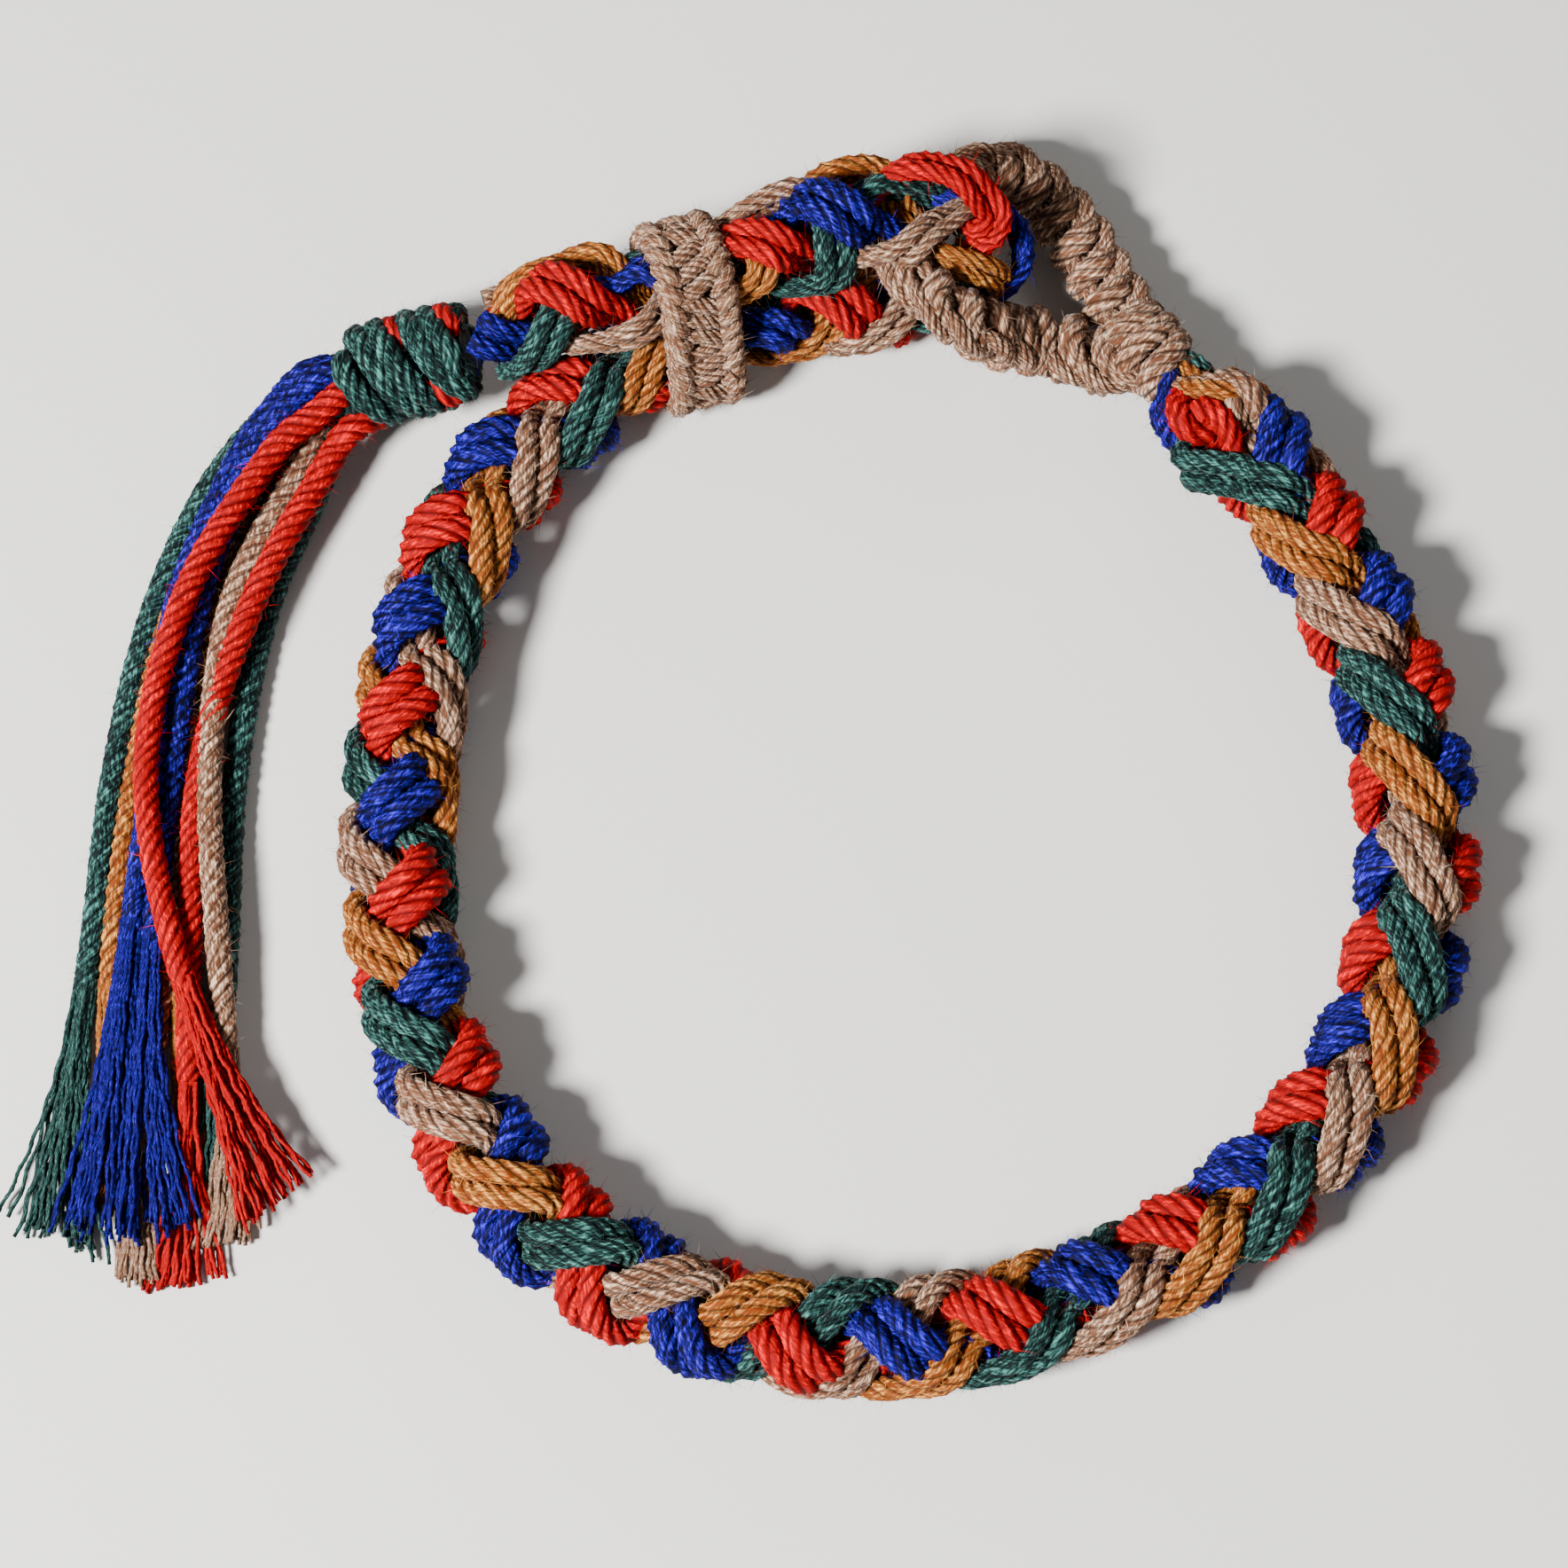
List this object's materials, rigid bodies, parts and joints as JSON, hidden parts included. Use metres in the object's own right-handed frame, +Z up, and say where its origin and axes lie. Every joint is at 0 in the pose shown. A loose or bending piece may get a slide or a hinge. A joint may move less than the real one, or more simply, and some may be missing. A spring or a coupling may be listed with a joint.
{
  "type": "braided bracelet",
  "caption": "Round braided wool bracelet with an eye loop, a knotted sliding band, a wrapped end knot and a long tassel.",
  "frame": {"origin": "middle of the ring that the braid makes, on the surface that the bracelet lies on", "axes": "+Z is up from the surface, +Y is towards the side with the sliding band, +X is towards the side with the eye loop's foot; the tassel hangs on the -X side"},
  "size_m": [0.0962, 0.09, 0.0145],
  "materials": {
    "wool_green": "twisted matt wool",
    "wool_taupe": "twisted matt wool, mottled",
    "wool_ochre": "twisted matt wool",
    "wool_red": "twisted matt wool",
    "wool_blue": "twisted matt wool"
  },
  "bodies": {
    "root": {"strand_green": "wool_green", "strand_taupe": "wool_taupe", "strand_ochre": "wool_ochre", "strand_red": "wool_red", "strand_blue": "wool_blue", "eye_loop": "wool_taupe", "slider_band": "wool_taupe", "end_knot": "wool_green", "tassel": "wool_red"}
  },
  "joints": []
}
